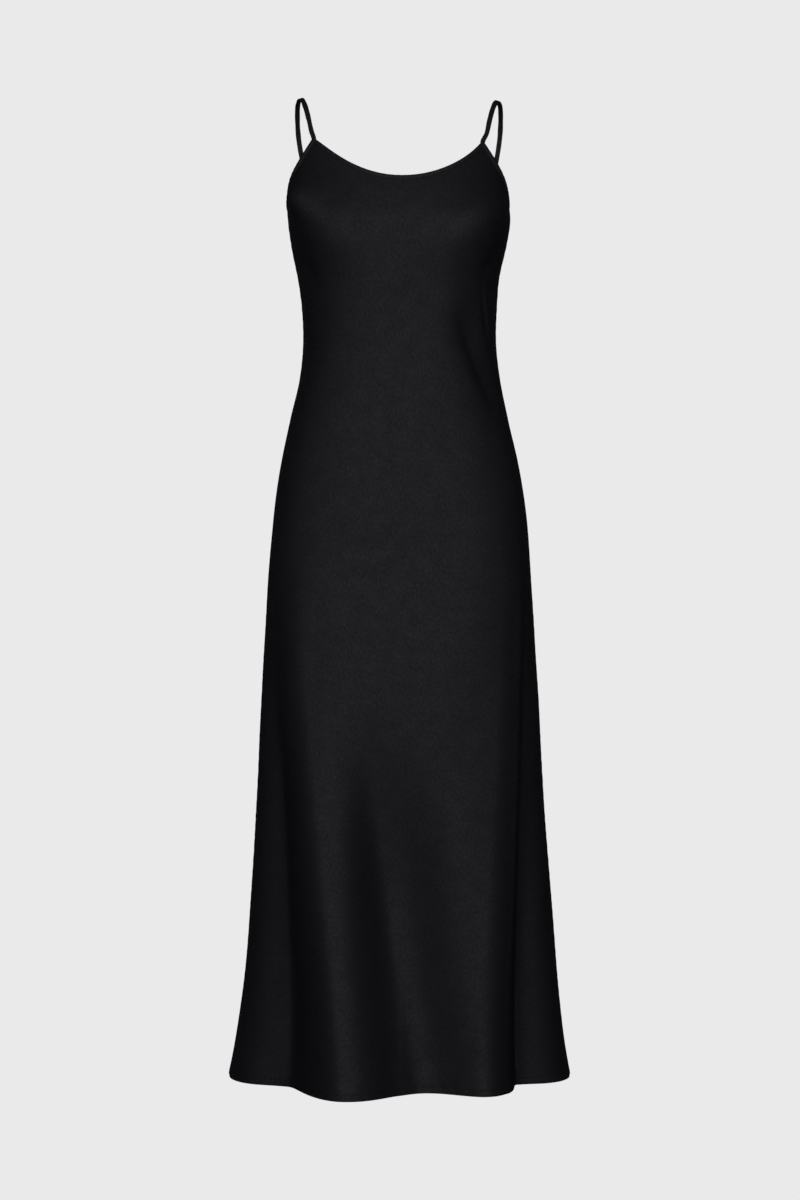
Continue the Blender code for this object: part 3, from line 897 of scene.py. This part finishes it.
def make_strap(name, side, material):
    """A pressed strap: a flat oval with a shallow dip down each face."""
    line, width, thick, along = strap_line(side, STRAP_STEPS)
    turn = np.radians(np.arange(STRAP_SIDES) * 360.0 / STRAP_SIDES)
    half_width = 0.5 * sizes().strap_width
    half_thick = 0.5 * sizes().strap_thickness
    across = half_width * signed_power(np.cos(turn), STRAP_CORNER_POWER)
    raised = half_thick * signed_power(np.sin(turn), STRAP_CORNER_POWER)
    dip = 1.0 - STRAP_DIP * bell(across, STRAP_DIP_WIDTH * half_width)
    quick, slow = STRAP_UNEVEN_RATES
    uneven = 1.0 + STRAP_UNEVEN * np.sin(along * quick + side) * np.sin(along * slow)
    rings = (
        line[:, None, :]
        + (across * uneven[:, None])[..., None] * width[:, None, :]
        + (raised * dip)[None, :, None] * thick[:, None, :]
    )
    count, sides = rings.shape[:2]
    around = (across + 2.0 * raised)[None, :]
    uv = np.stack(np.broadcast_arrays(along[:, None], around), axis=-1).reshape(-1, 2)
    caps = (np.arange(sides)[::-1], (count - 1) * sides + np.arange(sides))
    faces = loop_faces(count, sides)
    return make_piece(name, rings.reshape(-1, 3), faces, material, [name], uv, caps)


def stitch_row(line, normal, pitch, length, radius):
    """Points and faces of a row of stitches laid along a line.

    Each stitch is a spindle of thread: rings of six points whose radius and lift follow
    a half wave from end to end, so that both ends dive into the cloth.
    """
    along = travelled_along(line)
    count = int(along[-1] / pitch)
    middles = (np.arange(count) + 0.5) * along[-1] / count
    stations = np.linspace(-0.5, 0.5, STITCH_RINGS)
    at = middles[:, None] + stations * length
    centre = np.stack([np.interp(at, along, line[:, axis]) for axis in range(3)], axis=-1)
    up = np.stack([np.interp(at, along, normal[:, axis]) for axis in range(3)], axis=-1)
    up /= np.linalg.norm(up, axis=-1, keepdims=True)
    forward = np.gradient(centre, axis=1)
    forward /= np.linalg.norm(forward, axis=-1, keepdims=True)
    sideways = np.cross(up, forward)
    arch = np.cos(np.pi * stations * STITCH_ARCH)
    thickness = radius * (STITCH_END_SHARE + (1.0 - STITCH_END_SHARE) * arch)
    lift = radius * (STITCH_LIFT * arch - STITCH_SINK)
    turn = np.radians(np.arange(THREAD_SIDES) * 360.0 / THREAD_SIDES)
    ring = (
        centre[:, :, None, :]
        + (lift[:, None] + thickness[:, None] * np.sin(turn))[None, ..., None] * up[:, :, None, :]
        + (thickness[:, None] * np.cos(turn))[None, ..., None] * sideways[:, :, None, :]
    )
    points = ring.reshape(-1, 3)
    one = loop_faces(STITCH_RINGS, THREAD_SIDES)
    first = np.arange(count)[:, None, None] * STITCH_RINGS * THREAD_SIDES
    faces = (first + one[None]).reshape(-1, 4)
    cap = np.array([[0, 1, 2, 5], [5, 2, 3, 4]])
    last = (STITCH_RINGS - 1) * THREAD_SIDES
    near = (first + cap[None]).reshape(-1, 4)
    far = (first + last + cap[None, :, ::-1]).reshape(-1, 4)
    return points, np.concatenate([faces, near, far])[:, ::-1]


def joined(rows):
    """Several sets of points and faces as one."""
    starts = np.cumsum([0] + [len(points) for points, _ in rows[:-1]])
    points = np.concatenate([points for points, _ in rows])
    faces = np.concatenate([faces + start for (_, faces), start in zip(rows, starts)])
    return points, faces


def edge_stitches(start, end):
    """A row of stitches along the bound edge between two strap points, low in its band."""
    angles = np.linspace(start + STITCH_CLEAR_OF_STRAP, end - STITCH_CLEAR_OF_STRAP, EDGE_STITCH_STEPS)
    height = top_edge(angles, STITCH_DROP_SHARE * sizes().binding_width)
    line = layer(angles, height, STITCH_ABOVE_CLOTH)
    return stitch_row(line, normals(angles, height), *stitch_sizes())


def hem_stitches():
    """A row of stitches all round the hem, at one height."""
    angles = np.linspace(-180.0, 180.0, HEM_STITCH_STEPS)
    height = np.full(HEM_STITCH_STEPS, HEM + HEM_STITCH_UP)
    line = layer(angles, height, HEM_STITCH_ABOVE_CLOTH)
    return stitch_row(line, normals(angles, height), *stitch_sizes())


def stitch_sizes():
    return sizes().stitch_pitch, sizes().stitch_length, sizes().thread_radius


# ---------------------------------------------------------------- materials


def node(tree, kind, **values):
    made = tree.nodes.new(kind)
    for name, value in values.items():
        setattr(made, name, value)
    return made


def noise(tree, vector, scale, detail, rough, name):
    """A noise texture on given coordinates; scale is in features to a metre."""
    made = node(tree, "ShaderNodeTexNoise", label=name)
    made.inputs["Scale"].default_value = scale
    made.inputs["Detail"].default_value = detail
    made.inputs["Roughness"].default_value = rough
    tree.links.new(vector, made.inputs["Vector"])
    return made.outputs["Fac"]


def spread(tree, value, low, high, from_low=0.0, from_high=1.0):
    """A value carried from one range to another."""
    made = node(tree, "ShaderNodeMapRange")
    for name, number in zip(
        ("From Min", "From Max", "To Min", "To Max"), (from_low, from_high, low, high)
    ):
        made.inputs[name].default_value = number
    tree.links.new(value, made.inputs["Value"])
    return made.outputs["Result"]


def combined(tree, operation, one, other):
    """One arithmetic step on two values, either of which may be a plain number."""
    made = node(tree, "ShaderNodeMath", operation=operation)
    for socket, value in zip(made.inputs, (one, other)):
        if isinstance(value, (int, float)):
            socket.default_value = value
        else:
            tree.links.new(value, socket)
    return made.outputs["Value"]


def mapped(tree, vector, turn, scale):
    made = node(tree, "ShaderNodeMapping")
    made.inputs["Rotation"].default_value = (0.0, 0.0, np.radians(turn))
    made.inputs["Scale"].default_value = scale
    tree.links.new(vector, made.inputs["Vector"])
    return made.outputs["Vector"]


def crepe(name, colour, roughness, bias, grain):
    """Black crepe: crossed yarns on the bias, a pebbled grain and faint cloudiness.

    Two noises, each drawn out along one yarn direction, make the weave.  A rounder noise
    makes the crepe's pebbles, and two wide ones shift its darkness and dullness.
    """
    material = bpy.data.materials.new(name)
    material.use_nodes = True
    tree = material.node_tree
    shader = tree.nodes["Principled BSDF"]
    shader.inputs["Specular IOR Level"].default_value = 0.15
    cloth = node(tree, "ShaderNodeUVMap", uv_map="Cloth").outputs["UV"]
    warp = noise(tree, mapped(tree, cloth, bias, (1.0, 0.22, 1.0)), 1500.0, 1.0, 0.5, "warp")
    weft = noise(tree, mapped(tree, cloth, bias, (0.22, 1.0, 1.0)), 1500.0, 1.0, 0.5, "weft")
    pebble = noise(tree, cloth, 620.0, 3.0, 0.62, "pebbles")
    fleck = noise(tree, mapped(tree, cloth, bias, (1.0, 0.6, 1.0)), 360.0, 2.0, 0.6, "flecks")
    cloud = noise(tree, cloth, 48.0, 3.0, 0.55, "clouds")
    yarns = combined(tree, "ADD", warp, weft)
    relief = combined(tree, "MULTIPLY_ADD", pebble, 2.2)
    tree.links.new(yarns, relief.node.inputs[2])
    bump = node(tree, "ShaderNodeBump")
    bump.inputs["Strength"].default_value = grain
    bump.inputs["Distance"].default_value = 0.00022
    tree.links.new(relief, bump.inputs["Height"])
    tree.links.new(bump.outputs["Normal"], shader.inputs["Normal"])
    light = spread(tree, fleck, 0.74, 1.26, 0.28, 0.72)
    soft = spread(tree, cloud, 0.90, 1.10, 0.3, 0.7)
    shade = combined(tree, "MULTIPLY", light, soft)
    tint = node(tree, "ShaderNodeVectorMath", operation="SCALE")
    tint.inputs[0].default_value = colour
    tree.links.new(shade, tint.inputs["Scale"])
    tree.links.new(tint.outputs["Vector"], shader.inputs["Base Color"])
    dull = spread(tree, fleck, roughness + 0.07, roughness - 0.07, 0.25, 0.75)
    dull = combined(tree, "ADD", dull, spread(tree, cloud, 0.03, -0.03, 0.3, 0.7))
    tree.links.new(dull, shader.inputs["Roughness"])
    return material


def thread(name, colour):
    """Smooth black sewing thread, lit a little more than the cloth, with a fine twist."""
    material = bpy.data.materials.new(name)
    material.use_nodes = True
    tree = material.node_tree
    shader = tree.nodes["Principled BSDF"]
    shader.inputs["Base Color"].default_value = (*colour, 1.0)
    shader.inputs["Specular IOR Level"].default_value = 0.30
    place = node(tree, "ShaderNodeTexCoord").outputs["Object"]
    twist = noise(tree, place, 2600.0, 2.0, 0.5, "twist")
    tree.links.new(spread(tree, twist, 0.32, 0.52), shader.inputs["Roughness"])
    bump = node(tree, "ShaderNodeBump")
    bump.inputs["Strength"].default_value = 0.5
    bump.inputs["Distance"].default_value = 0.00008
    tree.links.new(twist, bump.inputs["Height"])
    tree.links.new(bump.outputs["Normal"], shader.inputs["Normal"])
    return material


def backdrop_material(name, colour):
    """An even pale floor that gives its own colour, and is clear from underneath."""
    material = bpy.data.materials.new(name)
    material.use_nodes = True
    tree = material.node_tree
    tree.nodes.clear()
    glow = node(tree, "ShaderNodeEmission")
    glow.inputs["Color"].default_value = (*colour, 1.0)
    clear = node(tree, "ShaderNodeBsdfTransparent")
    mix = node(tree, "ShaderNodeMixShader")
    out = node(tree, "ShaderNodeOutputMaterial")
    facing = node(tree, "ShaderNodeNewGeometry").outputs["Backfacing"]
    tree.links.new(facing, mix.inputs["Fac"])
    tree.links.new(glow.outputs["Emission"], mix.inputs[1])
    tree.links.new(clear.outputs["BSDF"], mix.inputs[2])
    tree.links.new(mix.outputs["Shader"], out.inputs["Surface"])
    return material


def material(name, make, *values):
    """The material of that name, made the first time it is asked for."""
    return bpy.data.materials.get(name) or make(name, *values)


def cloth_material():
    """The panels' crepe, with its yarns at 45 degrees to the hem."""
    return material("black crepe", crepe, tuple(colours().cloth), colours().roughness, 45.0, 0.55)


def trim_material_with_painted_sheen():
    """The same crepe in the bindings and straps, pressed a little smoother, with its colour lighter
    than the cloth's as painted sheen.
    """
    pressed = colours().roughness - 0.05
    return material("crepe trim with painted sheen", crepe, tuple(colours().trim), pressed, 0.0, 0.45)


def thread_material():
    return material("black thread", thread, tuple(colours().thread))


# ---------------------------------------------------------------- operators


class SLIPDRESS_OT_panels(bpy.types.Operator):
    """Make the front and back panels, with their folds, creases and turned hems"""

    bl_idname = "slip_dress.panels"
    bl_label = "Panels"

    def execute(self, context):
        corner = np.array([-APEX_HALF_WIDTH, 0.0, APEX_HALF_WIDTH])
        front_held = np.concatenate([-FRONT_APEX_ANGLE + corner, FRONT_APEX_ANGLE + corner])
        back_held = np.concatenate([BACK_APEX_ANGLE + corner, 360.0 - BACK_APEX_ANGLE + corner])
        plans = (
            ("front_panel", -SIDE, SIDE, FRONT_COLUMNS, front_held, FRONT_APEX),
            ("back_panel", SIDE, 360.0 - SIDE, BACK_COLUMNS, back_held, BACK_APEX),
        )
        for name, start, end, count, held, apex in plans:
            piece, girth, area = make_panel(name, start, end, count, held, cloth_material())
            piece["cut_area"] = area
        return {"FINISHED"}


class SLIPDRESS_OT_bindings(bpy.types.Operator):
    """Make the bound edges of the neck and armholes"""

    bl_idname = "slip_dress.bindings"
    bl_label = "Bindings"

    def execute(self, context):
        front, back = FRONT_APEX_ANGLE, BACK_APEX_ANGLE
        plans = (
            ("neck_binding_front", -front, front, NECK_STEPS),
            ("neck_binding_back", back, 360.0 - back, NECK_STEPS),
            ("armhole_binding_left", front, back, ARMHOLE_STEPS),
            ("armhole_binding_right", -back, -front, ARMHOLE_STEPS),
        )
        for name, start, end, steps in plans:
            make_binding(name, start, end, steps, APEX_HALF_WIDTH, trim_material_with_painted_sheen())
        return {"FINISHED"}


class SLIPDRESS_OT_straps(bpy.types.Operator):
    """Make the two shoulder straps"""

    bl_idname = "slip_dress.straps"
    bl_label = "Straps"

    def execute(self, context):
        make_strap("strap_right", -1.0, trim_material_with_painted_sheen())
        make_strap("strap_left", 1.0, trim_material_with_painted_sheen())
        return {"FINISHED"}


class SLIPDRESS_OT_stitching(bpy.types.Operator):
    """Make the stitches along the bindings and the hem"""

    bl_idname = "slip_dress.stitching"
    bl_label = "Stitching"

    def execute(self, context):
        front, back = FRONT_APEX_ANGLE, BACK_APEX_ANGLE
        neck = joined([edge_stitches(-front, front), edge_stitches(back, 360.0 - back)])
        armhole = joined([edge_stitches(front, back), edge_stitches(-back, -front)])
        for name, (points, faces), slot in (
            ("neck_stitches", neck, "binding"),
            ("armhole_stitches", armhole, "binding"),
            ("hem_stitches", hem_stitches(), "cloth"),
        ):
            make_piece(name, points, faces, thread_material())
        return {"FINISHED"}


class SLIPDRESS_OT_stage(bpy.types.Operator):
    """Make the floor, the soft lights, the even surroundings and the camera"""

    bl_idname = "slip_dress.stage"
    bl_label = "Stage"

    def execute(self, context):
        scene = context.scene
        make_floor(tuple(studio().backdrop))
        make_world(tuple(studio().backdrop))
        soft_light("key", KEY_PLACE, KEY_AIM, KEY_SIZE, studio().key_power)
        for name, place in BACK_PLACES.items():
            lamp = soft_light(name, place, (0.0, 0.0, 0.0), BACK_SIZE, studio().back_power)
            lamp.visible_glossy = False
        camera = bpy.data.cameras.new("camera")
        camera.sensor_width = SENSOR_WIDTH
        camera.lens = SENSOR_WIDTH * studio().camera_distance / studio().view_height
        camera.clip_end = FURTHEST_SEEN
        holder = bpy.data.objects.new("camera", camera)
        holder.location = (0.0, -studio().camera_distance, studio().camera_height)
        holder.rotation_euler = (np.radians(90.0), 0.0, 0.0)
        scene.collection.objects.link(holder)
        scene.camera = holder
        scene.view_settings.view_transform = "Standard"
        return {"FINISHED"}


def make_floor(colour):
    """A wide round floor below the wearer's feet, seen by the camera and by no other ray."""
    turn = np.linspace(0.0, 2.0 * np.pi, FLOOR_SIDES + 1)[:-1]
    level = np.full(FLOOR_SIDES, HEM - FLOOR_BELOW_HEM)
    points = np.stack([FLOOR_RADIUS * np.cos(turn), FLOOR_RADIUS * np.sin(turn), level], axis=1)
    mesh = bpy.data.meshes.new("floor")
    mesh.from_pydata(points.tolist(), [], [list(range(FLOOR_SIDES))])
    mesh.materials.append(backdrop_material("pale floor", colour))
    floor = bpy.data.objects.new("floor", mesh)
    for ray in ("visible_diffuse", "visible_glossy", "visible_transmission", "visible_shadow"):
        setattr(floor, ray, False)
    bpy.context.scene.collection.objects.link(floor)
    floor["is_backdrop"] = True


def make_world(colour):
    """The backdrop's colour to the camera, and a dim even light to the dress."""
    world = bpy.data.worlds.new("studio")
    world.use_nodes = True
    tree = world.node_tree
    tree.nodes.clear()
    seen = node(tree, "ShaderNodeBackground")
    seen.inputs["Color"].default_value = (*colour, 1.0)
    dim = node(tree, "ShaderNodeBackground")
    dim.inputs["Color"].default_value = (1.0, 1.0, 1.0, 1.0)
    dim.inputs["Strength"].default_value = DIM_LIGHT
    ray = node(tree, "ShaderNodeLightPath").outputs["Is Camera Ray"]
    mix = node(tree, "ShaderNodeMixShader")
    out = node(tree, "ShaderNodeOutputWorld")
    tree.links.new(ray, mix.inputs["Fac"])
    tree.links.new(dim.outputs["Background"], mix.inputs[1])
    tree.links.new(seen.outputs["Background"], mix.inputs[2])
    tree.links.new(mix.outputs["Shader"], out.inputs["Surface"])
    bpy.context.scene.world = world


def soft_light(name, place, aim, size, power):
    """A large rectangle of light, turned to face a point.

    Its place and the point are given from the camera's own height.
    """
    lamp = bpy.data.lights.new(name, "AREA")
    lamp.shape = "RECTANGLE"
    lamp.size, lamp.size_y = size
    lamp.energy = power
    holder = bpy.data.objects.new(name, lamp)
    holder.location = (place[0], place[1], place[2] + studio().camera_height)
    direction = np.array(aim) - np.array(place)
    holder.rotation_euler = (
        np.arctan2(np.hypot(direction[0], direction[1]), -direction[2]),
        0.0,
        np.arctan2(-direction[0], direction[1]),
    )
    bpy.context.scene.collection.objects.link(holder)
    return holder


class SLIPDRESS_PT_sidebar(bpy.types.Panel):
    bl_idname = "SLIPDRESS_PT_sidebar"
    bl_label = "Slip dress"
    bl_space_type = "VIEW_3D"
    bl_region_type = "UI"
    bl_category = "Slip dress"

    def draw(self, context):
        for operator in OPERATORS:
            self.layout.operator(operator.bl_idname)
        for group in (sizes(), colours(), studio()):
            box = self.layout.box()
            for name in group.__annotations__:
                box.prop(group, name)


OPERATORS = (
    SLIPDRESS_OT_panels,
    SLIPDRESS_OT_bindings,
    SLIPDRESS_OT_straps,
    SLIPDRESS_OT_stitching,
    SLIPDRESS_OT_stage,
)
GROUPS = {
    "slip_dress_sizes": ClothSizes,
    "slip_dress_colours": ClothColours,
    "slip_dress_studio": Studio,
}


def register():
    for made in (*GROUPS.values(), *OPERATORS, SLIPDRESS_PT_sidebar):
        bpy.utils.register_class(made)
    for name, group in GROUPS.items():
        setattr(bpy.types.Scene, name, bpy.props.PointerProperty(type=group))


def unregister():
    for name in GROUPS:
        delattr(bpy.types.Scene, name)
    for made in (SLIPDRESS_PT_sidebar, *reversed(OPERATORS), *reversed(GROUPS.values())):
        bpy.utils.unregister_class(made)


def main():
    register()
    bpy.ops.slip_dress.panels()
    bpy.ops.slip_dress.bindings()
    bpy.ops.slip_dress.straps()
    bpy.ops.slip_dress.stitching()
    bpy.ops.slip_dress.stage()
    boxes = {"cad": CAD_BOX, "visual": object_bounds()}
    boxes = {name: [list(corner) for corner in box] for name, box in boxes.items()}


if __name__ == "__main__":
    main()
